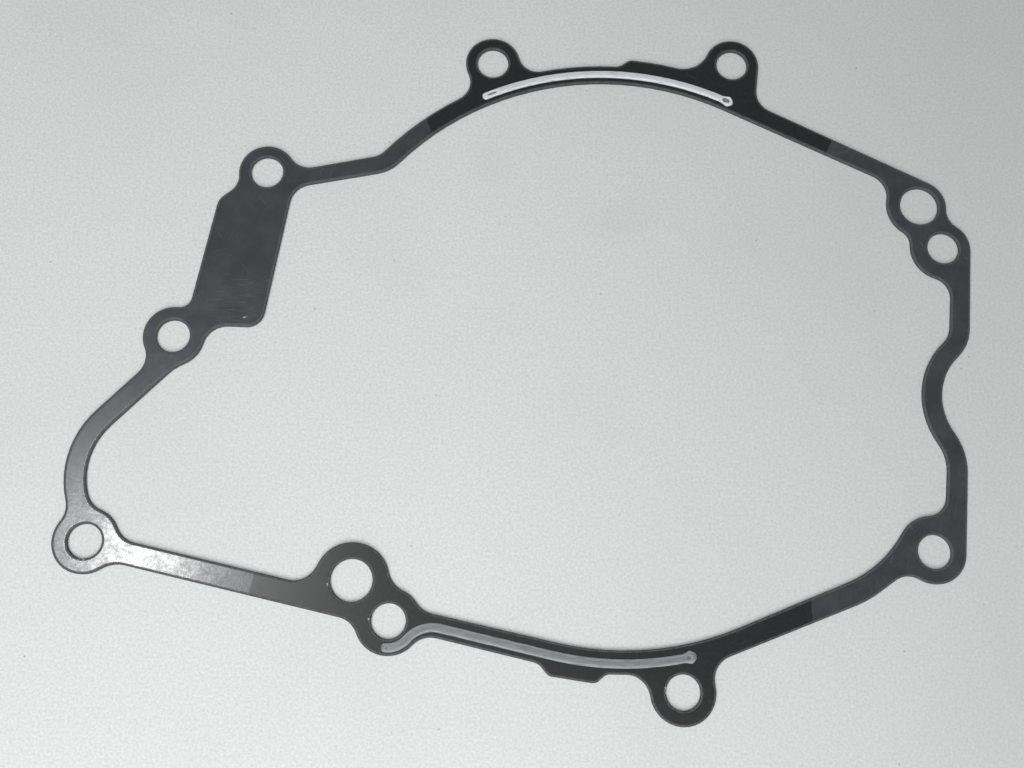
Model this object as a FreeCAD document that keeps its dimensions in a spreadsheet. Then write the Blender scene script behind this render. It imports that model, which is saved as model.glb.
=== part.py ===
import FreeCAD, Part

import math
import os

import Sketcher
from FreeCAD import Vector

# Stator cover gasket: a flat coated steel gasket, stamped in one stroke, with two laid beads of sealant.
# The sheet lies flat with its underside at height zero. The origin is the middle of the low dowel hole,
# and the middle of every other hole is measured from it. Lengths are in millimetres, angles in degrees.

SIZES = {
    # The sheet and what is punched in it
    "sheet_thickness": 0.8,
    "edge_roll": 0.3,
    "bolt_hole_diameter": 6.8,
    "dowel_hole_diameter": 8.3,
    # The ring round the stator, whose radius is the inner one. A reach is how far a middle lies beyond
    # the radius that it is counted from, and a turn is its direction, in degrees from a level or an
    # upright line. The ring's own middle is counted from the low dowel hole.
    "stator_radius": 61.0,
    "rim_width": 4.0,
    "top_tab_height": 1.8,
    "stator_reach": 8.54,
    "stator_turn": 41.85,
    # Middles of the bolt holes and of the right dowel hole
    "top_reach": 8.74,
    "top_turn": 20.57,
    "top_right_reach": 10.54,
    "top_right_turn": -23.3,
    "upper_left_reach": 21.32,
    "upper_left_turn": -28.28,
    "left_reach": 28.84,
    "left_turn": -1.79,
    "bottom_left_reach": 50.13,
    "bottom_left_turn": 20.49,
    "low_reach": 9.06,
    "low_turn": -39.32,
    "bottom_reach": 7.9,
    "bottom_turn": 10.71,
    "bottom_right_reach": 15.18,
    "bottom_right_turn": -32.29,
    "right_reach": 14.64,
    "right_turn": 18.1,
    "right_dowel_reach": 10.47,
    "right_dowel_turn": 24.85,
    # The ring's floor, and the bend and the two bulges beside the ring
    "floor_reach": 2.48,
    "floor_turn": 43.36,
    "floor_slack": 0.5,
    "left_bend_reach": 0.37,
    "left_bend_turn": 45.43,
    "left_bend_radius": 18.3,
    "left_bend_width": 4.3,
    "low_bulge_reach": 4.83,
    "low_bulge_turn": 15.28,
    "low_bulge_radius": 13.0,
    "high_bulge_reach": 8.24,
    "high_bulge_turn": -17.72,
    "high_bulge_radius": 9.5,
    "neck_radius": 12.6,
    "neck_width": 4.1,
    # Metal left round the holes: the bosses outside the ring, and the lands inside it
    "boss_wall": 2.5,
    "left_boss_wall": 2.75,
    "wide_boss_wall": 3.0,
    "low_boss_wall": 3.2,
    "right_land_wall": 3.6,
    "bottom_right_land_wall": 3.8,
    "low_land_wall": 3.0,
    "low_dowel_land_wall": 3.25,
    "bottom_left_land_wall": 3.2,
    "left_land_wall": 2.9,
    # Rounded corners
    "fillet_radius": 4.8,
    "close_fillet_radius": 4.2,
    "small_fillet_radius": 3.2,
    "notch_fillet_radius": 2.5,
    "broad_fillet_radius": 6.0,
    "wide_fillet_radius": 10.0,
    "sweeping_fillet_radius": 25.0,
    "corner_radius": 3.6,
    "tab_corner_radius": 1.9,
    "tab_foot_radius": 1.8,
    "strap_bend_radius": 8.7,
    # Straight edges, each held by its distances from two middles
    "upper_strap_outside_from_top": 16.9,
    "upper_strap_outside_from_upper_left": 0.7,
    "plate_shoulder_from_upper_left": 1.2,
    "plate_shoulder_from_left": 18.9,
    "plate_outside_from_upper_left": 8.5,
    "plate_outside_from_left": 1.7,
    "left_strap_outside_from_left": 0.8,
    "low_strap_outside_from_bottom_left": 2.7,
    "low_strap_outside_from_low_dowel": 7.4,
    "floor_strap_outside_from_low": 1.0,
    "floor_strap_outside_from_bottom": 1.2,
    "low_tab_left_from_low": 18.1,
    "low_tab_left_from_bottom": 18.7,
    "low_tab_floor_from_low": 5.4,
    "low_tab_floor_from_bottom": 1.0,
    "low_tab_right_from_low": 34.9,
    "low_tab_right_from_bottom": 12.2,
    "bottom_step_from_low": 9.5,
    "bottom_step_from_bottom": 3.2,
    "rising_strap_outside_from_bottom": 2.95,
    "rising_strap_outside_from_bottom_right": 3.95,
    "rising_strap_end_from_bottom": 7.3,
    "rising_strap_end_from_bottom_right": 0.2,
    "top_strap_outside_from_top_right": 6.3,
    "top_stem_from_stator": 25.6,
    "top_tab_end_from_top_right": 14.0,
    "top_tab_end_from_top": 16.7,
    "top_strap_inside_from_right_dowel": 2.3,
    "right_strap_inside_from_right": 2.0,
    "right_strap_inside_from_bottom_right": 2.1,
    "rising_strap_inside_from_bottom_right": 0.95,
    "floor_strap_inside_from_low": 3.25,
    "low_strap_inside_from_low_dowel": 2.7,
    "low_strap_inside_from_bottom_left": 1.9,
    "left_strap_inside_from_left": 5.15,
    "plate_floor_from_left": 2.6,
    "plate_floor_from_stator": 2.4,
    "plate_inside_from_left": 17.2,
    "plate_inside_from_upper_left": 6.1,
    "upper_strap_inside_from_upper_left": 4.25,
    "upper_strap_inside_from_top": 21.0,
    # The two beads of sealant
    "bead_height": 0.5,
    "bead_roll": 0.35,
    "blob_fillet_radius": 2.0,
    "upper_bead_width": 1.55,
    "upper_blob_swell": 0.42,
    "upper_bead_from_ring": 1.9,
    "upper_bead_start_turn": 24.4,
    "upper_bead_end_turn": -25.4,
    "lower_bead_width": 1.8,
    "lower_blob_swell": 0.35,
    "lower_bead_start_reach": 1.62,
    "lower_bead_start_turn": -4.6,
    "lower_bead_turn_radius": 6.5,
    "lower_bead_from_low_dowel": 4.95,
    "lower_bead_from_floor": 2.5,
    "lower_bead_end_turn": 11.1,
}

doc = FreeCAD.newDocument("stator_cover_gasket")
sheet = doc.addObject("Spreadsheet::Sheet", "Sizes")
for row, (alias, number) in enumerate(SIZES.items(), start=1):
    sheet.set(f"A{row}", alias)
    sheet.set(f"B{row}", str(number))
    sheet.setAlias(f"B{row}", alias)
doc.recompute()


class Size:
    """A length or an angle, with the expression that gives it from the cells."""

    def __init__(self, value, text):
        self.value = value
        self.text = text

    def __add__(self, other):
        return Size(self.value + other.value, f"{self.text} + {other.text}")

    def __sub__(self, other):
        return Size(self.value - other.value, f"{self.text} - {other.text}")

    def half(self):
        return Size(self.value / 2, f"({self.text}) / 2")


def cell(alias):
    return Size(SIZES[alias], f"Sizes.{alias}")


bolt_hole = cell("bolt_hole_diameter").half()
dowel_hole = cell("dowel_hole_diameter").half()
ring = cell("stator_radius")
floor_radius = ring + cell("floor_slack")
upper_bead_line = ring + cell("upper_bead_from_ring")
lower_bead_line = floor_radius + cell("lower_bead_from_floor")

BOLTS = ["top", "top_right", "upper_left", "left", "bottom_left", "low", "bottom", "bottom_right", "right"]
DOWELS = ["low_dowel", "right_dowel"]

# Each middle: the one that it is measured from, the radius that its reach is added to, and the level or
# upright line, in degrees, that its turn is counted from. The beads' ends lie on their own lines, and
# have no reach.
MIDDLES = {
    "stator": ("low_dowel", ring, 0),
    "top": ("stator", ring, 90),
    "top_right": ("stator", ring, 90),
    "upper_left": ("stator", ring, 180),
    "left": ("stator", ring, 180),
    "bottom_left": ("stator", ring, 180),
    "low": ("stator", ring, 270),
    "bottom": ("stator", ring, 270),
    "bottom_right": ("stator", ring, 360),
    "right": ("stator", ring, 0),
    "right_dowel": ("right", None, 90),
    "floor": ("stator", None, 0),
    "left_bend": ("bottom_left", cell("left_bend_radius"), 0),
    "low_bulge": ("bottom_right", cell("low_bulge_radius"), 90),
    "high_bulge": ("right", cell("high_bulge_radius"), 270),
    "upper_bead_start": ("stator", upper_bead_line, 90),
    "upper_bead_end": ("stator", upper_bead_line, 90),
    "lower_bead_start": ("low", bolt_hole, 270),
    "lower_bead_end": ("floor", lower_bead_line, 270),
}


# An outline runs with the metal on its left. Its stretches are rounds and straight edges, each tangent
# to the next. A round's radius is positive where the metal bulges and negative where it is hollow. A
# straight edge has the unit normal that points to its left, and its distance from the origin along it.


class Round:
    """A round stretch, on a named middle, or free to touch both of its neighbours.

    The radius of one that follows comes from the neighbour that it touches, so no cell holds it.
    """

    def __init__(self, size, sign, middle=None, follows=False):
        self.size = size
        self.sign = sign
        self.middle = middle
        self.follows = follows
        self.radius = sign * size.value
        self.centre = None

    def given(self):
        return self.middle is not None

    def settle(self, places):
        self.centre = places[self.middle]

    def normal_at_join(self, other):
        if isinstance(other, Edge):
            return other.normal
        return (self.centre - other.centre) / (self.radius - other.radius)

    def join(self, other):
        return self.centre - self.normal_at_join(other) * self.radius

    def locus(self, radius):
        return ("circle", self.centre, abs(radius - self.radius))


class Edge:
    """A straight stretch, at signed distances from two named middles in travel order, or free."""

    def __init__(self, holds=None):
        self.holds = holds
        self.normal = None
        self.reach = None

    def given(self):
        return self.holds is not None

    def lie(self, first, first_gap, second, second_gap):
        across = second - first
        heading = math.atan2(across.y, across.x) - math.asin((second_gap - first_gap) / across.Length)
        self.normal = Vector(-math.sin(heading), math.cos(heading), 0)
        self.reach = self.normal.dot(first) - first_gap

    def settle(self, places):
        (first, first_size, first_sign), (second, second_size, second_sign) = self.holds
        first_gap = first_sign * first_size.value
        second_gap = second_sign * second_size.value
        self.lie(places[first], first_gap, places[second], second_gap)

    def normal_at_join(self, other):
        return self.normal

    def join(self, other):
        return other.join(self)

    def locus(self, radius):
        return ("line", self.normal, self.reach + radius)


def crossings(one, two):
    """Points on both of two loci, each a line or a circle."""
    if one[0] == "line" and two[0] == "line":
        (_, n1, d1), (_, n2, d2) = one, two
        det = n1.x * n2.y - n1.y * n2.x
        return [Vector((d1 * n2.y - d2 * n1.y) / det, (n1.x * d2 - n2.x * d1) / det, 0)]
    if one[0] == "circle" and two[0] == "circle":
        (_, c1, r1), (_, c2, r2) = one, two
        normal = (c2 - c1).normalize()
        gap = (c2 - c1).Length
        reach = (gap * gap + r1 * r1 - r2 * r2) / (2 * gap) + normal.dot(c1)
        return crossings(one, ("line", normal, reach))
    (_, centre, radius), (_, normal, reach) = (one, two) if one[0] == "circle" else (two, one)
    offset = reach - normal.dot(centre)
    foot = centre + normal * offset
    along = Vector(normal.y, -normal.x, 0) * math.sqrt(radius * radius - offset * offset)
    return [foot + along, foot - along]


def fit_round(before, run, after):
    """Places a free round against its neighbours: of the two ways, the one with the shorter arc."""

    def sweep(centre):
        run.centre = centre
        start = run.normal_at_join(before)
        end = run.normal_at_join(after)
        turn = math.atan2(end.y, end.x) - math.atan2(start.y, start.x)
        return (turn * run.sign) % (2 * math.pi)

    run.centre = min(crossings(before.locus(run.radius), after.locus(run.radius)), key=sweep)


def place_runs(runs, places, triples):
    """Places every stretch: first those held by named middles, then the free ones between them."""
    for run in runs:
        if run.given():
            run.settle(places)
    for before, run, after in triples:
        if run.given():
            continue
        if isinstance(run, Edge):
            run.lie(before.centre, before.radius, after.centre, after.radius)
        else:
            fit_round(before, run, after)


class Drawing:
    """A level sketch whose every size is bound to the cells."""

    def __init__(self, name, body=None):
        if body is None:
            self.sketch = doc.addObject("Sketcher::SketchObject", name)
        else:
            self.sketch = body.newObject("Sketcher::SketchObject", name)
            plane = next(item for item in body.Origin.OriginFeatures if item.Role == "XY_Plane")
            self.sketch.AttachmentSupport = [(plane, "")]
            self.sketch.MapMode = "FlatFace"
        self.places = {"low_dowel": Vector(0, 0, 0)}
        self.spots = {"low_dowel": (-1, 1)}
        self.first_of_size = {}
        self.constraints = []
        self.bound = []

    def tie(self, kind, *ends):
        self.constraints.append(Sketcher.Constraint(kind, *ends))

    def hold(self, size, kind, *ends):
        self.bound.append((len(self.constraints), size.text))
        self.constraints.append(Sketcher.Constraint(kind, *ends, size.value))

    def spot(self, name, construction=True):
        """A named middle, after the one that it is measured from."""
        if name in self.spots:
            return
        start, radius, line = MIDDLES[name]
        self.spot(start, construction)
        if f"{name}_reach" not in SIZES:
            distance = radius
        elif radius is None:
            distance = cell(f"{name}_reach")
        else:
            distance = radius + cell(f"{name}_reach")
        turn = cell(f"{name}_turn")
        angle = math.radians(line + turn.value)
        across = Size(distance.value * math.cos(angle), f"({distance.text}) * cos({line} + {turn.text})")
        up = Size(distance.value * math.sin(angle), f"({distance.text}) * sin({line} + {turn.text})")
        place = self.places[start] + Vector(across.value, up.value, 0)
        index = self.sketch.addGeometry(Part.Point(place), construction)
        self.hold(across, "DistanceX", *self.spots[start], index, 1)
        self.hold(up, "DistanceY", *self.spots[start], index, 1)
        self.places[name] = place
        self.spots[name] = (index, 1)

    def borrow(self, layout, names):
        """Takes named middles from another sketch of the same body."""
        order = list(layout.spots)
        for name in names:
            if name in self.spots:
                continue
            self.sketch.addExternal(layout.sketch.Name, f"Vertex{order.index(name)}")
            self.places[name] = layout.places[name]
            self.spots[name] = (-2 - len(self.spots), 1)

    def hold_radius(self, size, index):
        """The first round of a size is bound to its cell, and the others equal it."""
        if size.text in self.first_of_size:
            self.tie("Equal", self.first_of_size[size.text], index)
        else:
            self.first_of_size[size.text] = index
            self.hold(size, "Radius", index)

    def circle(self, name, diameter):
        ring = Part.Circle(self.places[name], Vector(0, 0, 1), diameter.value / 2)
        index = self.sketch.addGeometry(ring, False)
        self.tie("Coincident", index, 3, *self.spots[name])
        self.hold_radius(diameter.half(), index)

    def draw_round(self, run, start, end):
        first, last = (start, end) if run.sign > 0 else (end, start)
        begin = math.atan2(first.y - run.centre.y, first.x - run.centre.x)
        finish = math.atan2(last.y - run.centre.y, last.x - run.centre.x)
        if finish <= begin:
            finish += 2 * math.pi
        ring = Part.Circle(run.centre, Vector(0, 0, 1), abs(run.radius))
        index = self.sketch.addGeometry(Part.ArcOfCircle(ring, begin, finish), False)
        if not run.follows:
            self.hold_radius(run.size, index)
        if run.given():
            self.tie("Coincident", index, 3, *self.spots[run.middle])
        return (index, 1, 2) if run.sign > 0 else (index, 2, 1)

    def draw_edge(self, run, start, end, neighbours):
        index = self.sketch.addGeometry(Part.LineSegment(start, end), False)
        touched = [other.middle for other in neighbours if isinstance(other, Round)]
        for name, size, _ in run.holds or []:
            if name not in touched:
                self.hold(size, "Distance", *self.spots[name], index)
        return (index, 1, 2)

    def draw(self, run, start, end, neighbours):
        if isinstance(run, Edge):
            return self.draw_edge(run, start, end, neighbours)
        return self.draw_round(run, start, end)

    def outline(self, runs):
        """A closed outline."""
        place_runs(runs, self.places, zip(runs[-1:] + runs, runs, runs[1:] + runs[:1]))
        joins = [run.join(following) for run, following in zip(runs, runs[1:] + runs[:1])]
        drawn = [
            self.draw(run, joins[index - 1], joins[index], (runs[index - 1], runs[(index + 1) % len(runs)]))
            for index, run in enumerate(runs)
        ]
        for (index, _, leave), (following, enter, _) in zip(drawn, drawn[1:] + drawn[:1]):
            self.tie("Tangent", index, leave, following, enter)

    def finish(self):
        self.sketch.addConstraint(self.constraints)
        for index, text in self.bound:
            self.sketch.setExpression(f"Constraints[{index}]", text)
        doc.recompute()
        if self.sketch.solve() != 0 or not self.sketch.FullyConstrained:
            raise RuntimeError(f"{self.sketch.Label} is not fully held by its sizes")
        return self.sketch


fillet = cell("fillet_radius")


def bulge(size, middle=None):
    return Round(size, 1, middle)


def hollow(size=fillet, middle=None):
    return Round(size, -1, middle)


def held_edge(name, first, first_sign, second, second_sign):
    """A straight edge held by two middles, whose cells are named after it and them."""
    return Edge(
        [
            (first, cell(f"{name}_from_{first}"), first_sign),
            (second, cell(f"{name}_from_{second}"), second_sign),
        ]
    )


rim = ring + cell("rim_width")
top_tab = rim + cell("top_tab_height")
left_bend_inside = cell("left_bend_radius") - cell("left_bend_width")
low_bulge_inside = cell("low_bulge_radius") - cell("neck_width")
high_bulge_inside = cell("high_bulge_radius") - cell("neck_width")
neck_inside = cell("neck_radius") + cell("neck_width")

boss = bolt_hole + cell("boss_wall")
left_boss = bolt_hole + cell("left_boss_wall")
wide_boss = bolt_hole + cell("wide_boss_wall")
low_boss = bolt_hole + cell("low_boss_wall")
right_land = bolt_hole + cell("right_land_wall")
bottom_right_land = bolt_hole + cell("bottom_right_land_wall")
low_land = bolt_hole + cell("low_land_wall")
low_dowel_land = dowel_hole + cell("low_dowel_land_wall")
bottom_left_land = bolt_hole + cell("bottom_left_land_wall")
left_land = bolt_hole + cell("left_land_wall")

outside = [
    bulge(boss, "top"),
    hollow(),
    Round(rim, 1, "stator"),
    hollow(),
    held_edge("upper_strap_outside", "top", -1, "upper_left", -1),
    hollow(),
    bulge(boss, "upper_left"),
    hollow(cell("close_fillet_radius")),
    held_edge("plate_shoulder", "upper_left", 1, "left", 1),
    bulge(cell("corner_radius")),
    held_edge("plate_outside", "upper_left", 1, "left", -1),
    hollow(cell("notch_fillet_radius")),
    bulge(left_boss, "left"),
    hollow(),
    Edge(
        [
            ("left", cell("left_strap_outside_from_left"), -1),
            ("left_bend", cell("left_bend_radius"), 1),
        ]
    ),
    bulge(cell("left_bend_radius"), "left_bend"),
    hollow(),
    bulge(wide_boss, "bottom_left"),
    hollow(cell("broad_fillet_radius")),
    held_edge("low_strap_outside", "bottom_left", 1, "low_dowel", 1),
    hollow(),
    bulge(low_boss, "low"),
    hollow(),
    held_edge("floor_strap_outside", "low", 1, "bottom", 1),
    hollow(cell("small_fillet_radius")),
    held_edge("low_tab_left", "low", -1, "bottom", 1),
    bulge(cell("tab_corner_radius")),
    held_edge("low_tab_floor", "low", 1, "bottom", 1),
    bulge(cell("tab_corner_radius")),
    held_edge("low_tab_right", "low", 1, "bottom", -1),
    hollow(cell("tab_foot_radius")),
    held_edge("bottom_step", "low", 1, "bottom", -1),
    hollow(),
    bulge(wide_boss, "bottom"),
    hollow(),
    held_edge("rising_strap_outside", "bottom", -1, "bottom_right", 1),
    bulge(cell("sweeping_fillet_radius")),
    held_edge("rising_strap_end", "bottom", 1, "bottom_right", -1),
    hollow(),
    bulge(wide_boss, "bottom_right"),
    Edge(),
    bulge(cell("low_bulge_radius"), "low_bulge"),
    hollow(cell("neck_radius")),
    bulge(cell("high_bulge_radius"), "high_bulge"),
    Edge(),
    bulge(boss, "right"),
    hollow(cell("close_fillet_radius")),
    bulge(boss, "right_dowel"),
    Edge(
        [
            ("right_dowel", boss, 1),
            ("top_right", cell("top_strap_outside_from_top_right"), -1),
        ]
    ),
    hollow(),
    Edge([("stator", cell("top_stem_from_stator"), 1), ("top_right", boss, 1)]),
    bulge(boss, "top_right"),
    hollow(cell("broad_fillet_radius")),
    Round(top_tab, 1, "stator"),
    bulge(cell("tab_corner_radius")),
    held_edge("top_tab_end", "top_right", 1, "top", -1),
    hollow(cell("small_fillet_radius")),
    Round(rim, 1, "stator"),
    hollow(cell("close_fillet_radius")),
]

inside = [
    hollow(ring, "stator"),
    Edge(
        [
            ("stator", ring, -1),
            ("right_dowel", cell("top_strap_inside_from_right_dowel"), -1),
        ]
    ),
    hollow(),
    bulge(right_land, "right_dowel"),
    hollow(cell("small_fillet_radius")),
    bulge(right_land, "right"),
    hollow(cell("close_fillet_radius")),
    Edge(
        [
            ("right", cell("right_strap_inside_from_right"), -1),
            ("high_bulge", high_bulge_inside, -1),
        ]
    ),
    Round(high_bulge_inside, -1, "high_bulge"),
    Round(neck_inside, 1),
    Round(low_bulge_inside, -1, "low_bulge"),
    Edge(
        [
            ("low_bulge", low_bulge_inside, -1),
            ("bottom_right", cell("right_strap_inside_from_bottom_right"), -1),
        ]
    ),
    hollow(cell("close_fillet_radius")),
    bulge(bottom_right_land, "bottom_right"),
    hollow(cell("sweeping_fillet_radius")),
    Edge(
        [
            ("bottom_right", cell("rising_strap_inside_from_bottom_right"), 1),
            ("floor", floor_radius, -1),
        ]
    ),
    hollow(floor_radius, "floor"),
    Edge([("floor", floor_radius, -1), ("low", cell("floor_strap_inside_from_low"), 1)]),
    hollow(),
    bulge(low_land, "low"),
    hollow(),
    bulge(low_dowel_land, "low_dowel"),
    hollow(),
    held_edge("low_strap_inside", "low_dowel", -1, "bottom_left", 1),
    hollow(),
    bulge(bottom_left_land, "bottom_left"),
    hollow(),
    Round(left_bend_inside, -1, "left_bend"),
    Edge([("left_bend", left_bend_inside, -1), ("left", cell("left_strap_inside_from_left"), 1)]),
    hollow(cell("wide_fillet_radius")),
    bulge(left_land, "left"),
    hollow(),
    held_edge("plate_floor", "left", -1, "stator", -1),
    bulge(cell("corner_radius")),
    held_edge("plate_inside", "left", 1, "upper_left", 1),
    hollow(),
    held_edge("upper_strap_inside", "upper_left", 1, "top", 1),
    bulge(cell("strap_bend_radius")),
]

def make_layout(body):
    """The middles of the holes and of the large rounds."""
    layout = Drawing("layout", body)
    for name in [*BOLTS, "right_dowel", "floor", "left_bend", "low_bulge", "high_bulge"]:
        layout.spot(name, construction=False)
    layout.finish()
    return layout


def cut_through(body, name, drawing):
    """Punches a sketch's shape right through the sheet."""
    before = body.Shape.Volume
    pocket = body.newObject("PartDesign::Pocket", name)
    pocket.Profile = drawing.finish()
    pocket.Type = "ThroughAll"
    pocket.Midplane = True
    doc.recompute()
    if not body.Shape.Volume < before:
        raise RuntimeError(f"{name} cuts nothing")


def round_top(body, name, level, alias):
    """Rounds every edge of the face that lies at a level."""
    solid = body.Tip
    edges = [f"Edge{n}" for n, edge in enumerate(solid.Shape.Edges, start=1) if edge.BoundBox.ZMin > level]
    rounding = body.newObject("PartDesign::Fillet", name)
    rounding.Base = (solid, edges)
    rounding.setExpression("Radius", f"Sizes.{alias}")
    body.Tip = rounding
    doc.recompute()


def make_sheet():
    """The stamped sheet: its outline, its one large opening and its holes, then the rolled top edge."""
    body = doc.addObject("PartDesign::Body", "gasket_sheet")
    layout = make_layout(body)
    outline = Drawing("outline", body)
    outline.borrow(layout, list(layout.spots))
    outline.outline(outside)
    blank = body.newObject("PartDesign::Pad", "blank")
    blank.Profile = outline.finish()
    blank.setExpression("Length", "Sizes.sheet_thickness")
    doc.recompute()
    opening = Drawing("opening", body)
    opening.borrow(layout, list(layout.spots))
    opening.outline(inside)
    cut_through(body, "opening_cut", opening)
    holes = Drawing("holes", body)
    holes.borrow(layout, list(layout.spots))
    for name in BOLTS:
        holes.circle(name, cell("bolt_hole_diameter"))
    for name in DOWELS:
        holes.circle(name, cell("dowel_hole_diameter"))
    cut_through(body, "hole_cut", holes)
    round_top(body, "rolled_edges", SIZES["sheet_thickness"] / 2, "edge_roll")
    return body


def make_bead(name, drawing, body, runs):
    """A bead laid on the sheet: a band with a rounded top."""
    drawing.outline(runs)
    band = body.newObject("PartDesign::Pad", f"{name}_band")
    band.Profile = drawing.finish()
    band.setExpression("Length", "Sizes.bead_height")
    doc.recompute()
    round_top(body, f"{name}_top", SIZES["sheet_thickness"] + SIZES["bead_height"] / 2, "bead_roll")
    return body


def bead_drawing(name, body):
    drawing = Drawing(f"{name}_outline", body)
    drawing.sketch.setExpression("AttachmentOffset.Base.z", "Sizes.sheet_thickness")
    return drawing


def make_upper_bead():
    """Round the ring from under the top bolt to under the top right bolt, where it ends in a blob."""
    name = "upper_sealant_bead"
    body = doc.addObject("PartDesign::Body", name)
    drawing = bead_drawing(name, body)
    drawing.spot("upper_bead_start")
    drawing.spot("upper_bead_end")
    half = cell("upper_bead_width").half()
    runs = [
        Round(upper_bead_line + half, 1, "stator", follows=True),
        Round(half, 1, "upper_bead_start"),
        Round(upper_bead_line - half, -1, "stator", follows=True),
        hollow(cell("blob_fillet_radius")),
        bulge(half + cell("upper_blob_swell"), "upper_bead_end"),
        hollow(cell("blob_fillet_radius")),
    ]
    return make_bead(name, drawing, body, runs)


def make_lower_bead():
    """From under the low bolt, along the strap and the ring's floor, to a blob above the bottom bolt."""
    name = "lower_sealant_bead"
    body = doc.addObject("PartDesign::Body", name)
    drawing = bead_drawing(name, body)
    drawing.spot("lower_bead_start")
    drawing.spot("lower_bead_end")
    half = cell("lower_bead_width").half()
    radius = bolt_hole + cell("lower_bead_start_reach")
    turn = cell("lower_bead_turn_radius")
    from_dowel = cell("lower_bead_from_low_dowel")
    runs = [
        Round(radius + half, 1, "low", follows=True),
        Round(turn - half, -1),
        Edge([("low_dowel", from_dowel + half, 1), ("floor", lower_bead_line + half, 1)]),
        Round(lower_bead_line + half, 1, "floor"),
        hollow(cell("blob_fillet_radius")),
        bulge(half + cell("lower_blob_swell"), "lower_bead_end"),
        hollow(cell("blob_fillet_radius")),
        Round(lower_bead_line - half, -1, "floor"),
        Edge([("floor", lower_bead_line - half, -1), ("low_dowel", from_dowel - half, -1)]),
        Round(turn + half, 1),
        Round(radius - half, -1, "low", follows=True),
        Round(half, 1, "lower_bead_start"),
    ]
    return make_bead(name, drawing, body, runs)


parts = [make_sheet(), make_upper_bead(), make_lower_bead()]

for item in doc.Objects:
    if "Invalid" in item.State or "Error" in item.State:
        raise RuntimeError(f"{item.Label} failed: {item.State}")
for body in parts:
    if body.Shape.isNull() or not body.Shape.isValid():
        raise RuntimeError(f"{body.Label} has no sound solid")

os.makedirs("parts", exist_ok=True)
for body in parts:
    body.Shape.exportStep(f"parts/{body.Label}.step")
    box = body.Shape.BoundBox
    print(
        body.Label,
        f"{box.XLength:.2f} x {box.YLength:.2f} x {box.ZLength:.2f} mm,",
        f"{len(body.Shape.Solids)} solid, {body.Shape.Volume:.1f} mm3",
    )
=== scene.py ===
import math

import bmesh
import bpy
from mathutils import Matrix, Vector, noise


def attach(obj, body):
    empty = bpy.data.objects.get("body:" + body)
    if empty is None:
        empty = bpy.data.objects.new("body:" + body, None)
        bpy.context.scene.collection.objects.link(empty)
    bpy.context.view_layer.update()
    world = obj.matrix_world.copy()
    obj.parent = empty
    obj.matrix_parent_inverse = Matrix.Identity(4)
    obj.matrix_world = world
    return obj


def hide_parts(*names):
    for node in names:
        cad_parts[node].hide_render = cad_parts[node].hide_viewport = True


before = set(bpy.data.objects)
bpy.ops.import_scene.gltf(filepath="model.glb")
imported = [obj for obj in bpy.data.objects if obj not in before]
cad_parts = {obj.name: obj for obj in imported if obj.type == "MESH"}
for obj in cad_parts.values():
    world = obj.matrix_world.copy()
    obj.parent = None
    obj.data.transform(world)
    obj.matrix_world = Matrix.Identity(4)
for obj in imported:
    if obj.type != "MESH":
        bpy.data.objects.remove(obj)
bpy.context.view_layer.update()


# The gasket sheet: 0.8 mm sheet steel, coated with rubber on both sides and stamped out in one stroke.
# The punch pulls the upper face down along every cut edge, so each edge there has a soft roll, 0.56 mm
# wide, while the cut itself is straight and shows the steel core.
mm = 0.001
sheet_thickness = 0.8 * mm
roll_width = 0.56 * mm
roll_depth = 0.15 * mm
roll_steps = 7
weld = 0.001 * mm

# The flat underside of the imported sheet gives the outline, and a raised copy of it the upper face.
stamped = bmesh.new()
stamped.from_mesh(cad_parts["gasket_sheet"].data)
bmesh.ops.remove_doubles(stamped, verts=stamped.verts, dist=weld)
above = [f for f in stamped.faces if max(v.co.z for v in f.verts) > weld]
bmesh.ops.delete(stamped, geom=above, context="FACES")
underside = list(stamped.faces)

upper_face = bmesh.ops.duplicate(stamped, geom=underside)["geom"]
upper_face = [g for g in upper_face if isinstance(g, bmesh.types.BMFace)]
bmesh.ops.reverse_faces(stamped, faces=upper_face)
bmesh.ops.translate(
    stamped,
    verts=list({v for f in upper_face for v in f.verts}),
    vec=(0, 0, sheet_thickness - roll_depth),
)

# The roll: one inset of the upper face, whose slope is then bent into a quarter of an oval.
rim = bmesh.ops.inset_region(
    stamped,
    faces=upper_face,
    use_boundary=True,
    use_even_offset=True,
    thickness=roll_width,
    depth=roll_depth,
)["faces"]
slopes = [
    e for e in {e for f in rim for e in f.edges} if abs(e.verts[0].co.z - e.verts[1].co.z) > roll_depth / 2
]
bent = bmesh.ops.subdivide_edges(stamped, edges=slopes, cuts=roll_steps)["geom_inner"]
for spot in {g for g in bent if isinstance(g, bmesh.types.BMVert)}:
    share = (spot.co.z - sheet_thickness + roll_depth) / roll_depth
    spot.co.z = sheet_thickness - roll_depth * (1 - math.sqrt(1 - (1 - share) ** 2))

# The straight cut, from the foot of the roll down to the underside.
cut_edges = [
    e for e in stamped.edges if len(e.link_faces) == 1 and e.verts[0].co.z > sheet_thickness / 2
]
cut = bmesh.ops.extrude_edge_only(stamped, edges=cut_edges)["geom"]
bmesh.ops.translate(
    stamped,
    verts=[g for g in cut if isinstance(g, bmesh.types.BMVert)],
    vec=(0, 0, roll_depth - sheet_thickness),
)
for face in stamped.faces:
    face.smooth = True
for face in upper_face + underside:
    face.smooth = False
for face in stamped.faces:
    heights = [v.co.z for v in face.verts]
    if max(heights) - min(heights) > sheet_thickness / 2:
        face.material_index = 1
bmesh.ops.remove_doubles(stamped, verts=stamped.verts, dist=weld)
bmesh.ops.recalc_face_normals(stamped, faces=stamped.faces)


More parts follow.
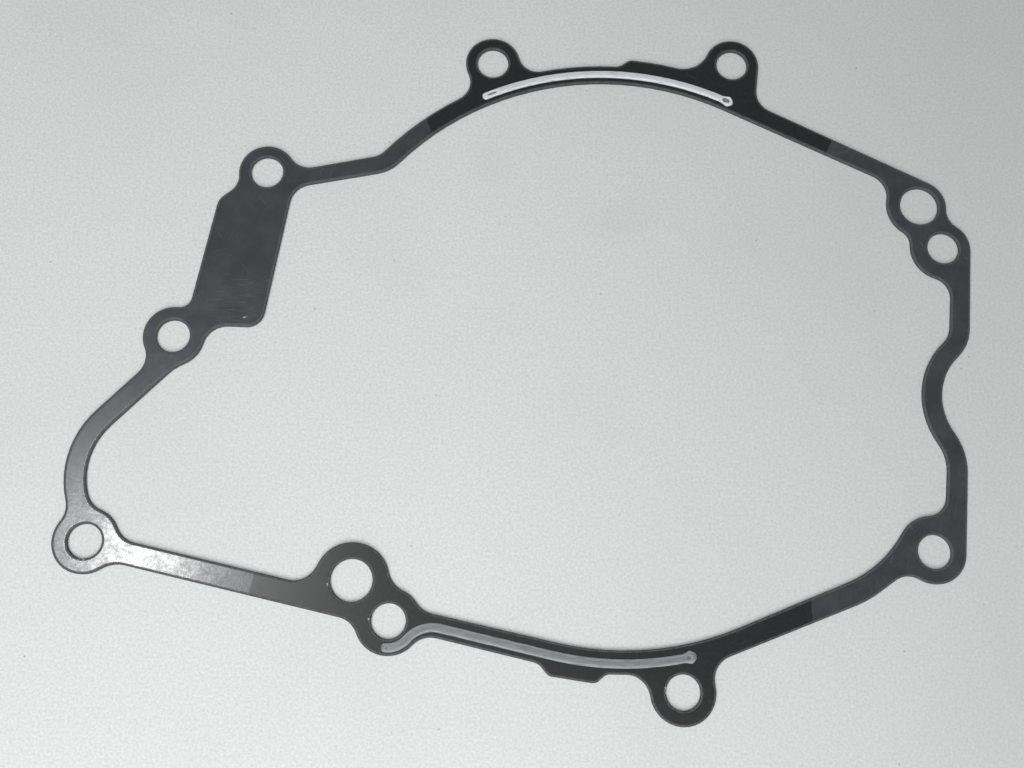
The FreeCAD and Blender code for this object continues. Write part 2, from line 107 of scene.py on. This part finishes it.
def finished_piece(name, shape, *finishes):
    """Makes the bmesh a piece of that name with those finishes, riding on the one body."""
    mesh = bpy.data.meshes.new(name)
    shape.to_mesh(mesh)
    shape.free()
    for finish in finishes:
        mesh.materials.append(finish)
    piece = bpy.data.objects.new(name, mesh)
    bpy.context.scene.collection.objects.link(piece)
    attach(piece, "root")
    return piece


class Finish:
    """A material and the few calls that lay out its nodes."""

    def __init__(self, name):
        self.material = bpy.data.materials.new(name)
        self.material.use_nodes = True
        self.tree = self.material.node_tree
        self.shader = self.tree.nodes["Principled BSDF"]
        self.place = self.add("ShaderNodeTexCoord").outputs["Object"]

    def add(self, kind, inputs=(), **settings):
        node = self.tree.nodes.new(kind)
        for name, value in settings.items():
            setattr(node, name, value)
        for name, value in dict(inputs).items():
            self.feed(node, name, value)
        return node

    def feed(self, node, name, value):
        if isinstance(value, bpy.types.NodeSocket):
            self.tree.links.new(value, node.inputs[name])
        else:
            node.inputs[name].default_value = value

    def math(self, operation, *values):
        return self.add("ShaderNodeMath", enumerate(values), operation=operation).outputs[0]

    def stretched(self, sizes, turn=0.0, middle=(0, 0, 0)):
        """Places on the piece from middle, along axes turned about the vertical, in those sizes."""
        return self.add(
            "ShaderNodeMapping",
            {"Vector": self.place, "Location": middle, "Rotation": (0, 0, turn), "Scale": sizes},
            vector_type="TEXTURE",
        ).outputs[0]

    def from_spot(self, sizes, turn, middle):
        """0 at middle, and 1 all round an oval of those half sizes."""
        return self.add(
            "ShaderNodeVectorMath", {0: self.stretched((*sizes, 1), turn, middle)}, operation="LENGTH"
        ).outputs["Value"]

    def grain(self, size, detail=3.0, rough=0.5, where=None, distortion=0.0):
        """Noise whose lumps are about that size, in metres, from 0 to 1."""
        return self.add(
            "ShaderNodeTexNoise",
            {
                "Vector": where or self.place,
                "Scale": 1 / size,
                "Detail": detail,
                "Roughness": rough,
                "Distortion": distortion,
            },
        ).outputs[0]

    def span(self, value, low, high, to_low=0.0, to_high=1.0, smooth=True):
        """to_low where value is low, to_high where it is high, and a ramp between them."""
        return self.add(
            "ShaderNodeMapRange",
            {"Value": value, "From Min": low, "From Max": high, "To Min": to_low, "To Max": to_high},
            interpolation_type="SMOOTHSTEP" if smooth else "LINEAR",
        ).outputs[0]

    def blend(self, share, first, second):
        """first, with share of second laid over it."""
        node = self.add("ShaderNodeMix", data_type="RGBA")
        self.feed(node, 0, share)
        self.feed(node, 6, first)
        self.feed(node, 7, second)
        return node.outputs[2]

    def past(self, spot, towards, wander=None):
        """How far a place is past the straight line through spot, in the direction towards."""
        away = Vector(towards).normalized()
        run = self.add("ShaderNodeVectorMath", {0: self.place, 1: away}, operation="DOT_PRODUCT")
        value = self.math("SUBTRACT", run.outputs["Value"], Vector(spot).dot(away))
        return value if wander is None else self.math("ADD", value, wander)


# Two darker, duller fields are printed over the coating, one across the top and one along the lower
# strap. Their borders are straight, but stray by up to a quarter of a millimetre.
coating = Finish("rubber_coated_steel")
border = 0.06 * mm
stray = 0.25 * mm
wander = coating.span(coating.grain(0.9 * mm, 3), 0, 1, -stray, stray, smooth=False)


def inside(spot, towards):
    """1 on the printed side of the border through spot, and 0 on its other side."""
    return coating.span(coating.past(spot, towards, wander), -border, border)


upper_print = coating.math(
    "MINIMUM",
    inside((0.0137, 0.0961, 0), (0.946, 0.325, 0)),
    inside((0.1003, 0.0925, 0), (-0.877, 0.480, 0)),
)
upper_print = coating.math(
    "MULTIPLY", upper_print, coating.span(coating.past((0, 0.07, 0), (0, 1, 0)), 0, 1 * mm)
)
lower_print = coating.math(
    "MINIMUM",
    inside((-0.0193, -0.0004, 0), (0.976, -0.215, 0)),
    inside((0.0906, -0.0058, 0), (-1, 0, 0)),
)
lower_print = coating.math(
    "MULTIPLY", lower_print, coating.span(coating.past((0, 0.03, 0), (0, -1, 0)), 0, 1 * mm)
)
printed = coating.math("MAXIMUM", upper_print, lower_print)

# The roll is painted lighter where it has dropped below the first of these heights, fully from the second:
# partly frayed coating, partly a painted reflection of the pale room on the slope.
fray_and_sheen_starts = 0.7995 * mm
fray_and_sheen_full = 0.788 * mm
fray_and_sheen_waver = 0.006 * mm
height = coating.add("ShaderNodeSeparateXYZ", {0: coating.place}).outputs[2]
feather = coating.span(
    coating.grain(0.45 * mm, 3, 0.7), 0, 1, -fray_and_sheen_waver, fray_and_sheen_waver, smooth=False
)
rolled = coating.span(coating.math("ADD", height, feather), fray_and_sheen_starts, fray_and_sheen_full)

patches = coating.grain(7 * mm, 5, 0.6)
mottle = coating.grain(0.8 * mm, 4, 0.7)
specks = coating.grain(0.3 * mm, 2, 0.6)
bare_dark, bare_light = (0.024, 0.030, 0.034, 1), (0.043, 0.049, 0.054, 1)
mottle_tone = (0.020, 0.024, 0.028, 1)
print_dark, print_light = (0.0004, 0.0016, 0.0014, 1), (0.0042, 0.0070, 0.0066, 1)
speck_tone = (0.07, 0.075, 0.08, 1)
fray_and_sheen_tone = (0.068, 0.073, 0.076, 1)
scratch_tone = (0.20, 0.21, 0.22, 1)
chip_and_glint_tone = (0.50, 0.51, 0.52, 1)
bare_colour = coating.blend(coating.span(patches, 0.3, 0.7), bare_dark, bare_light)
bare_colour = coating.blend(coating.span(mottle, 0.35, 0.75, 0, 0.5), bare_colour, mottle_tone)
print_colour = coating.blend(coating.span(mottle, 0.3, 0.7), print_dark, print_light)
colour = coating.blend(printed, bare_colour, print_colour)
colour = coating.blend(coating.span(specks, 0.6, 0.8, 0, 0.22), colour, speck_tone)
# Painted lighter along the roll: partly frayed coating, partly painted reflection.
fray_and_sheen_share = coating.span(coating.grain(0.6 * mm, 4, 0.75), 0.30, 0.62, 0.25, 0.95)
colour = coating.blend(coating.math("MULTIPLY", rolled, fray_and_sheen_share), colour, fray_and_sheen_tone)

# Fine scratches in three directions, rubs on the plate, three single nicks, one chip down to the steel on
# the plate, and five painted glints on hole rims. Each row is a place, a turn and the half sizes of an
# oval.
scratch_field = coating.span(coating.grain(9 * mm, 2, 0.5), 0.50, 0.62)
scratches = None
for turn, size in ((0.35, 0.16 * mm), (-0.9, 0.21 * mm), (1.25, 0.14 * mm)):
    line = coating.grain(1, 1.0, 0.4, coating.stretched((7 * mm, size, 1), turn))
    line = coating.span(line, 0.70, 0.76, 0, 0.55)
    scratches = line if scratches is None else coating.math("MAXIMUM", scratches, line)
scratches = coating.math("MULTIPLY", scratches, scratch_field)
plate_rubs = coating.span(coating.from_spot((9 * mm, 7 * mm), 0.9, (-0.0255, 0.0575, 0)), 1.0, 0.3)
rub = coating.grain(1, 2.0, 0.6, coating.stretched((5 * mm, 0.17 * mm, 1), -0.05))
scratches = coating.math(
    "MAXIMUM", scratches, coating.math("MULTIPLY", coating.span(rub, 0.54, 0.76, 0, 0.42), plate_rubs)
)
for spot, turn, sizes in (
    ((-0.0236, 0.0533, 0), 0.2, (0.7 * mm, 0.22 * mm)),
    ((0.0711, 0.1092, 0), -0.49, (1.9 * mm, 0.09 * mm)),
    ((-0.0532, 0.0044, 0), 0.1, (0.5 * mm, 0.16 * mm)),
):
    nick = coating.span(coating.from_spot(sizes, turn, spot), 1.0, 0.5)
    scratches = coating.math("MAXIMUM", scratches, nick)
bare = coating.math("SUBTRACT", 1.0, printed)
worn = coating.math("MULTIPLY", scratches, coating.math("MAXIMUM", bare, 0.25))
colour = coating.blend(coating.math("MULTIPLY", worn, 0.55), colour, scratch_tone)
# Bright spots: the five on hole rims are painted glints where the rims catch light, and the last, on the
# plate, is a chip down to the steel.
chips_and_glints = None
for spot, turn, sizes in (
    ((0.1137, 0.0034, 0), -0.75, (0.75 * mm, 0.20 * mm)),
    ((-0.0046, -0.0006, 0), 1.57, (0.80 * mm, 0.16 * mm)),
    ((0.0036, -0.0075, 0), 1.57, (0.70 * mm, 0.15 * mm)),
    ((-0.0527, 0.0039, 0), 0.0, (0.90 * mm, 0.20 * mm)),
    ((0.0611, -0.0208, 0), 1.57, (0.80 * mm, 0.15 * mm)),
    ((-0.0236, 0.0533, 0), 0.6, (0.48 * mm, 0.16 * mm)),
):
    bright_mark = coating.span(coating.from_spot(sizes, turn, spot), 1.0, 0.6)
    chips_and_glints = bright_mark if chips_and_glints is None else coating.math("MAXIMUM", chips_and_glints, bright_mark)
chips_and_glints = coating.math("MULTIPLY", chips_and_glints, coating.span(coating.grain(0.28 * mm, 2, 0.5), 0.50, 0.60))
colour = coating.blend(chips_and_glints, colour, chip_and_glint_tone)
coating.feed(coating.shader, "Base Color", colour)

# The coating is satin, and smoothest by the lower left bolt. The print is duller, and what is worn or
# frayed is matte.
worn_roughness = 0.62
rubbed = coating.span(coating.from_spot((16 * mm, 8 * mm), -0.22, (-0.0435, 0.0052, 0)), 1.2, 0.2)
blotches = coating.math(
    "ADD",
    coating.math("MULTIPLY", mottle, 0.62),
    coating.math("MULTIPLY", coating.grain(2.6 * mm, 4, 0.6), 0.38),
)
bare_roughness = coating.math(
    "SUBTRACT", coating.span(blotches, 0.35, 0.66, 0.205, 0.285), coating.math("MULTIPLY", rubbed, 0.045)
)
print_roughness = coating.span(specks, 0.2, 0.8, 0.28, 0.34)
roughness = coating.add(
    "ShaderNodeMix", {0: printed, 2: bare_roughness, 3: print_roughness}, data_type="FLOAT"
).outputs[0]
roughness = coating.add(
    "ShaderNodeMix",
    {0: coating.math("MAXIMUM", rolled, worn), 2: roughness, 3: worn_roughness},
    data_type="FLOAT",
).outputs[0]
coating.feed(coating.shader, "Roughness", roughness)
coating.shader.inputs["IOR"].default_value = 1.42

grooves = coating.math("MULTIPLY", scratches, -0.5)
skin_height = coating.math("ADD", coating.grain(0.4 * mm, 3, 0.6), grooves)
skin = coating.add("ShaderNodeBump", {"Height": skin_height, "Strength": 0.10, "Distance": 0.05 * mm})
coating.feed(coating.shader, "Normal", skin.outputs[0])

core = Finish("sheared_steel_core")
shear_marks = core.grain(1, 3, 0.6, core.stretched((0.12 * mm, 0.12 * mm, 1.5 * mm)))
core_dark, core_light = (0.035, 0.038, 0.041, 1), (0.085, 0.089, 0.093, 1)
core_colour = core.blend(core.span(shear_marks, 0.3, 0.7), core_dark, core_light)
core.feed(core.shader, "Base Color", core_colour)
core.shader.inputs["Metallic"].default_value = 0.1
core.feed(core.shader, "Roughness", core.span(shear_marks, 0.3, 0.7, 0.52, 0.68))

gasket = finished_piece("coated_sheet", stamped, coating.material, core.material)
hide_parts("gasket_sheet")


# The upper sealant bead: silicone laid by a nozzle round the top of the ring, between the two top bolts,
# painted paler than the lower bead, a difference that is mostly painted light. It is a low dome where it
# lies, and ends in a small swollen blob where the nozzle lifted off.
stator_middle = Vector((51.8, 46.4)) * mm
bead_sink = 0.015 * mm
bead_foot = sheet_thickness - bead_sink
bead_height = 0.5 * mm
bead_step = 0.12 * mm
closest_step = 0.03 * mm
dome_power = 0.45
tip = 0.02
crease = math.radians(60)


def arc(middle, radius, start, end):
    """Places and headings along an arc, with the angles in degrees."""
    count = max(2, round(abs(math.radians(end - start)) * radius / bead_step))
    side = 90 if end > start else -90
    for step in range(count + 1):
        angle = start + (end - start) * step / count
        spot = middle + radius * Vector((math.cos(math.radians(angle)), math.sin(math.radians(angle))))
        yield spot, math.radians(angle + side)


def straight(start, end):
    """Places and headings along a straight run."""
    count = max(2, round((end - start).length / bead_step))
    heading = math.atan2(end.y - start.y, end.x - start.x)
    for step in range(count + 1):
        yield start.lerp(end, step / count), heading


def lay_bead(route, width, blob_width, blob_reach, seed):
    """Lays a bead along the route, section by section, rounded past both ends, with a blob at the last."""
    first, last = (
        spot + Vector((math.cos(heading), math.sin(heading))) * reach
        for (spot, heading), reach in ((route[0], -width / 2), (route[-1], blob_width / 2))
    )
    route = [*straight(first, route[0][0]), *route, *straight(route[-1][0], last)]
    spots = [route[0]]
    for spot, heading in route[1:]:
        if (spot - spots[-1][0]).length > closest_step:
            spots.append((spot, heading))
    gone = [0.0]
    for (here, _), (there, _) in zip(spots, spots[1:]):
        gone.append(gone[-1] + (there - here).length)
    length = gone[-1]

    def waver(run, size, row):
        """An unevenness along the bead, about -1 to 1, whose lumps are of that size."""
        return noise.noise(Vector((run / size, seed, row)))

    # Half a round disc, stood upright across the route, is the first section.
    bead = bmesh.new()
    bmesh.ops.create_circle(bead, cap_ends=True, segments=32, radius=1)
    bmesh.ops.bisect_plane(
        bead, geom=bead.verts[:] + bead.edges[:] + bead.faces[:], plane_co=(0, 0, 0), plane_no=(0, 1, 0),
        clear_inner=True,
    )
    loose = [v for v in bead.verts if not v.link_faces]
    bmesh.ops.delete(bead, geom=loose, context="VERTS")
    bmesh.ops.rotate(bead, verts=bead.verts, matrix=Matrix.Rotation(math.radians(90), 3, "X"))
    bmesh.ops.rotate(bead, verts=bead.verts, matrix=Matrix.Rotation(math.radians(90), 3, "Z"))
    for v in bead.verts:
        v.co.z = max(v.co.z, 0) ** dome_power
    section = next(iter(bead.faces))
    laid = bead.verts.layers.float_vector.new("laid")
    for v in bead.verts:
        v[laid] = (0, v.co.y, 0)
    stand = Matrix.Identity(4)
    for step, ((spot, heading), run) in enumerate(zip(spots, gone)):
        swell = math.exp(-(((length - blob_width / 2 - run) / blob_reach) ** 2))
        half = (width + (blob_width - width) * swell) / 2
        half *= 1 + 0.03 * waver(run, 1.7 * mm, 0) + 0.015 * waver(run, 0.5 * mm, 3)
        tall = bead_height * (0.93 + 0.05 * waver(run, 2.6 * mm, 7))
        for end, reach in ((run, width / 2), (length - run, blob_width / 2)):
            if end < reach:
                shrink = max(math.sqrt(max(1 - ((reach - end) / reach) ** 2, 0)), tip)
                half *= shrink
                tall *= shrink
        here = (
            Matrix.Translation((spot.x, spot.y, bead_foot))
            @ Matrix.Rotation(heading, 4, "Z")
            @ Matrix.Diagonal((1, half, tall + bead_sink, 1))
        )
        if step:
            grown = bmesh.ops.extrude_face_region(bead, geom=[section])["geom"]
            if step > 1:
                bmesh.ops.delete(bead, geom=[section], context="FACES_KEEP_BOUNDARY")
            section = next(g for g in grown if isinstance(g, bmesh.types.BMFace))
        bmesh.ops.transform(bead, matrix=here @ stand.inverted(), verts=section.verts)
        for v in section.verts:
            v[laid] = (run, v[laid].y, 0)
        stand = here
    bmesh.ops.recalc_face_normals(bead, faces=bead.faces)
    for face in bead.faces:
        face.smooth = True
    for edge in bead.edges:
        if len(edge.link_faces) == 2 and edge.calc_face_angle(0) > crease:
            edge.smooth = False
    return bead


def spot_on(route, run):
    """The place and heading on the route at that run from its start, or from its end if it is negative."""
    here, _ = route[0] if run >= 0 else route[-1]
    spot, heading = min(route, key=lambda place: abs((place[0] - here).length - abs(run)))
    return (spot.x, spot.y, 0), heading


def press_hollow(bead, spot, turn, sizes, depth):
    """Sinks an oval hollow into the top of a bead, where the skin fell in."""
    back = Matrix.Rotation(-turn, 2)
    for v in bead.verts:
        off = back @ (v.co.xy - Vector(spot[:2]))
        reach = (off.x / sizes[0]) ** 2 + (off.y / sizes[1]) ** 2
        if reach < 1 and v.co.z > sheet_thickness + 0.1 * mm:
            v.co.z -= depth * (1 - reach) ** 1.5


class Silicone(Finish):
    """A cured bead: paler along its sides, with streaks that follow the nozzle, and hollows with painted
    shade inside and a painted highlight round their rims.
    """

    hollow_shade_tone = (0.05, 0.055, 0.06, 1)

    def drawn_out(self, run, across):
        """Places on the bead's skin, in lumps of that run and that share of half the width."""
        return self.add(
            "ShaderNodeVectorMath", {0: self.laid, 1: (run, across, 1)}, operation="DIVIDE"
        ).outputs[0]

    def __init__(self, name, pale, middle_tone, dark, hollows):
        super().__init__(name)
        self.laid = self.add("ShaderNodeAttribute", attribute_name="laid").outputs["Vector"]
        streaks = self.grain(1, 3.0, 0.6, self.drawn_out(3.5 * mm, 0.17), 0.4)
        fine = self.grain(0.35 * mm, 3, 0.6)
        across = self.add("ShaderNodeSeparateXYZ", {0: self.laid}).outputs[1]
        sides = self.span(self.math("ABSOLUTE", across), 0.35, 0.75)
        colour = self.blend(sides, middle_tone, pale)
        colour = self.blend(self.span(streaks, 0.56, 0.68, 0, 0.75), colour, dark)
        colour = self.blend(self.span(streaks, 0.46, 0.34, 0, 0.6), colour, pale)
        dashes = self.math(
            "MULTIPLY",
            self.span(self.grain(1, 1.5, 0.5, self.drawn_out(2.8 * mm, 0.24)), 0.59, 0.66),
            self.span(streaks, 0.38, 0.5),
        )
        colour = self.blend(self.math("MULTIPLY", dashes, 0.75), colour, dark)
        colour = self.blend(self.span(fine, 0.55, 0.8, 0, 0.3), colour, dark)
        # Each hollow gets painted shade inside and a painted highlight on the pale ring round its rim.
        for spot, turn, sizes, share in hollows:
            ragged = self.span(fine, 0, 1, -0.35, 0.35, smooth=False)
            edge = self.math("ADD", self.from_spot(sizes, turn, spot), ragged)
            rim_highlight = self.math("ABSOLUTE", self.math("SUBTRACT", edge, 1.25))
            colour = self.blend(self.span(rim_highlight, 0.35, 0.1, 0, 0.5), colour, pale)
            shade = self.span(edge, 0.45, 0.15, share, share * 0.55)
            shade = self.math("MULTIPLY", self.span(edge, 1.0, 0.7), shade)
            colour = self.blend(shade, colour, self.hollow_shade_tone)
        self.feed(self.shader, "Base Color", colour)
        self.feed(self.shader, "Roughness", self.span(streaks, 0.3, 0.7, 0.46, 0.60))
        skin = self.math("ADD", self.math("MULTIPLY", streaks, 0.7), self.math("MULTIPLY", fine, 0.3))
        bumps = self.add("ShaderNodeBump", {"Height": skin, "Strength": 0.35, "Distance": 0.12 * mm})
        self.feed(self.shader, "Normal", bumps.outputs[0])


upper_route = list(arc(stator_middle, 62.9 * mm, 114.4, 64.6))
upper = lay_bead(upper_route, 1.55 * mm, 2.39 * mm, 0.8 * mm, 1)
upper_hollows = [
    (*spot_on(upper_route, 1.6 * mm), (1.25 * mm, 0.27 * mm), 0.9),
    (*spot_on(upper_route, -0.45 * mm), (0.95 * mm, 0.55 * mm), 0.9),
]
for spot, turn, sizes, share in upper_hollows:
    press_hollow(upper, spot, turn, (sizes[0] * 1.25, sizes[1] * 1.5), 0.3 * mm * share)
# Painted paler than the lower bead; most of that difference is painted light, not a different silicone.
silicone_painted_lighter = Silicone(
    "silicone_painted_lighter",
    pale=(0.69, 0.725, 0.745, 1),
    middle_tone=(0.555, 0.590, 0.610, 1),
    dark=(0.34, 0.37, 0.39, 1),
    hollows=upper_hollows,
)

upper_bead = finished_piece("upper_bead", upper, silicone_painted_lighter.material)
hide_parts("upper_sealant_bead")


# The lower sealant bead: silicone laid by a nozzle round the low bolt hole, across to the inner edge of
# the lower strap and along it, to a blob beside the bottom bolt. It is painted a darker grey than the
# upper bead, a difference that is mostly painted light.
low_middle = Vector((7.406, -7.804)) * mm
floor_middle = Vector((53.6, 48.1)) * mm
turn_middle = Vector((15.98, -15.50)) * mm
join = Vector((11.14, -11.16)) * mm
turn_end = Vector((17.46, -9.17)) * mm
strap_start = Vector((39.02, -14.22)) * mm
round_hole_end = math.degrees(math.atan2(join.y - low_middle.y, join.x - low_middle.x))
turn_from = math.degrees(math.atan2(join.y - turn_middle.y, join.x - turn_middle.x))
turn_to = math.degrees(math.atan2(turn_end.y - turn_middle.y, turn_end.x - turn_middle.x))
strap_from = math.degrees(math.atan2(strap_start.y - floor_middle.y, strap_start.x - floor_middle.x))
lower_route = list(arc(low_middle, 5.02 * mm, -94.6, round_hole_end))
lower_route += arc(turn_middle, 6.5 * mm, turn_from, turn_to)
lower_route += straight(turn_end, strap_start)
lower_route += arc(floor_middle, 64.0 * mm, strap_from, -78.6)
lower = lay_bead(lower_route, 1.8 * mm, 2.5 * mm, 0.8 * mm, 2)
lower_hollows = [
    (*spot_on(lower_route, 0.2 * mm), (0.42 * mm, 0.30 * mm), 0.25),
    (*spot_on(lower_route, -0.41 * mm), (0.55 * mm, 0.34 * mm), 0.65),
]
for spot, turn, sizes, share in lower_hollows:
    press_hollow(lower, spot, turn, (sizes[0] * 1.3, sizes[1] * 1.4), 0.3 * mm * share)
# Painted darker than the upper bead; most of that difference is painted light, not a different silicone.
silicone_painted_darker = Silicone(
    "silicone_painted_darker",
    pale=(0.255, 0.280, 0.285, 1),
    middle_tone=(0.150, 0.170, 0.174, 1),
    dark=(0.085, 0.096, 0.10, 1),
    hollows=lower_hollows,
)

lower_bead = finished_piece("lower_bead", lower, silicone_painted_darker.material)
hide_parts("lower_sealant_bead")


# The table that the gasket lies on: a plain pale board, faintly grained like paper, with a little dust.
# Away from the gasket it keeps one even pale tone, so that every view has a plain ground.
table = bmesh.new()
bmesh.ops.create_grid(table, x_segments=1, y_segments=1, size=2.0)
table_top = bpy.data.meshes.new("table_top")
table.to_mesh(table_top)
table.free()
floor = bpy.data.objects.new("table_top", table_top)
bpy.context.scene.collection.objects.link(floor)

board = Finish("pale_board")
fibres = board.grain(0.55 * mm, 4, 0.75)
clouds = board.grain(45 * mm, 2, 0.5)
paper_dark, paper_light = (0.535, 0.567, 0.552, 1), (0.700, 0.722, 0.712, 1)
cloud_tone = (0.42, 0.45, 0.44, 1)
right_falloff_shade_tone = (0.30, 0.33, 0.32, 1)
soft_patch_tone = (0.40, 0.43, 0.42, 1)
dust_tone = (0.22, 0.23, 0.22, 1)
far_tone = (0.600, 0.628, 0.620, 1)
paper = board.blend(board.span(fibres, 0.25, 0.75), paper_dark, paper_light)
paper = board.blend(board.span(clouds, 0.45, 0.7, 0, 0.09), paper, cloud_tone)
# The board is painted darker towards the right, as painted shade where the light falls off.
painted_falloff_to_right = board.span(board.past((0.02, 0, 0), (1, 0, 0)), 0, 0.11, 0, 0.26, smooth=False)
paper = board.blend(painted_falloff_to_right, paper, right_falloff_shade_tone)
# Two soft darker patches on the board.
for spot, sizes in (((0.0266, 0.0885, 0), (5 * mm, 7 * mm)), ((0.0543, 0.0758, 0), (9 * mm, 6 * mm))):
    soft_patch = board.span(board.from_spot(sizes, 0.3, spot), 1.3, 0.2, 0, 0.10)
    paper = board.blend(soft_patch, paper, soft_patch_tone)
dust = board.add("ShaderNodeTexVoronoi", {"Vector": board.place, "Scale": 1 / (6 * mm), "Randomness": 1.0})
dust = board.span(dust.outputs["Distance"], 0.046, 0.020, 0, 0.65)
dust = board.math("MULTIPLY", dust, board.span(board.grain(11 * mm, 1, 0.5), 0.50, 0.56))
paper = board.blend(dust, paper, dust_tone)
board.feed(board.shader, "Base Color", paper)
paper_skin = board.add("ShaderNodeBump", {"Height": fibres, "Strength": 0.12, "Distance": 0.1 * mm})
board.feed(board.shader, "Normal", paper_skin.outputs[0])
board.shader.inputs["Roughness"].default_value = 0.8
board.shader.inputs["Specular IOR Level"].default_value = 0.2
far = board.span(board.from_spot((1, 1), 0.0, (0.035, 0.040, 0)), 0.14, 0.25)
rays = board.add("ShaderNodeLightPath").outputs
seen = board.math("MAXIMUM", rays["Is Glossy Ray"], rays["Is Transmission Ray"])
seen = board.math("MAXIMUM", rays["Is Camera Ray"], seen)
pale = board.add("ShaderNodeEmission", {"Color": far_tone, "Strength": 1.0})
surface = board.add(
    "ShaderNodeMixShader",
    {0: board.math("MULTIPLY", far, seen), 1: board.shader.outputs[0], 2: pale.outputs[0]},
)
board.feed(board.tree.nodes["Material Output"], "Surface", surface.outputs[0])
table_top.materials.append(board.material)


# Light: a small window high on the left, whose reflection lies on the lower left of the sheet, a low
# broad lamp at the front, and the pale room all round.
def hang_lamp(name, spot, aim, size, power, colour):
    lamp = bpy.data.lights.new(name, "AREA")
    lamp.shape = "SQUARE"
    lamp.size = size
    lamp.energy = power
    lamp.color = colour
    holder = bpy.data.objects.new(name, lamp)
    holder.location = spot
    holder.rotation_euler = (Vector(aim) - Vector(spot)).to_track_quat("-Z", "Y").to_euler()
    bpy.context.scene.collection.objects.link(holder)


hang_lamp("window", (-0.360, 0.060, 1.0), (0, 0, 0), 0.12, 3.7, (0.985, 0.99, 0.985))
hang_lamp("front_lamp", (-0.02, -0.22, 0.28), (0.01, -0.04, 0), 0.34, 1.32, (1.0, 1.0, 1.0))

# The room lights the gasket dimly, and looks pale to the camera and in reflections.
room_light = 0.245
room_seen = 0.60
room = bpy.data.worlds.new("pale_room")
room.use_nodes = True
bpy.context.scene.world = room
backdrop = room.node_tree.nodes["Background"]
backdrop.inputs["Color"].default_value = (0.97, 0.99, 1.0, 1)
rays = room.node_tree.nodes.new("ShaderNodeLightPath").outputs
level = room.node_tree.nodes.new("ShaderNodeMapRange")
level.inputs["To Min"].default_value = room_light
level.inputs["To Max"].default_value = room_seen
seen = rays["Is Camera Ray"]
for ray in ("Is Glossy Ray", "Is Transmission Ray"):
    either = room.node_tree.nodes.new("ShaderNodeMath")
    either.operation = "MAXIMUM"
    room.node_tree.links.new(seen, either.inputs[0])
    room.node_tree.links.new(rays[ray], either.inputs[1])
    seen = either.outputs[0]
room.node_tree.links.new(seen, level.inputs["Value"])
room.node_tree.links.new(level.outputs[0], backdrop.inputs["Strength"])


# The camera: 210 mm above the board and 25 mm right of the low dowel hole, tilted by 12.5 degrees towards
# the top of the gasket, as fitted to the holes in the photograph.
eye = bpy.data.cameras.new("camera")
eye.sensor_width = 36
eye.lens = 36.77
eye.clip_start = 0.01
camera = bpy.data.objects.new("camera", eye)
camera.location = (0.02513, -0.00682, 0.20974)
camera.rotation_euler = (0.21826, -0.03038, 0)
bpy.context.scene.collection.objects.link(camera)
bpy.context.scene.camera = camera
bpy.context.scene.view_settings.view_transform = "Standard"
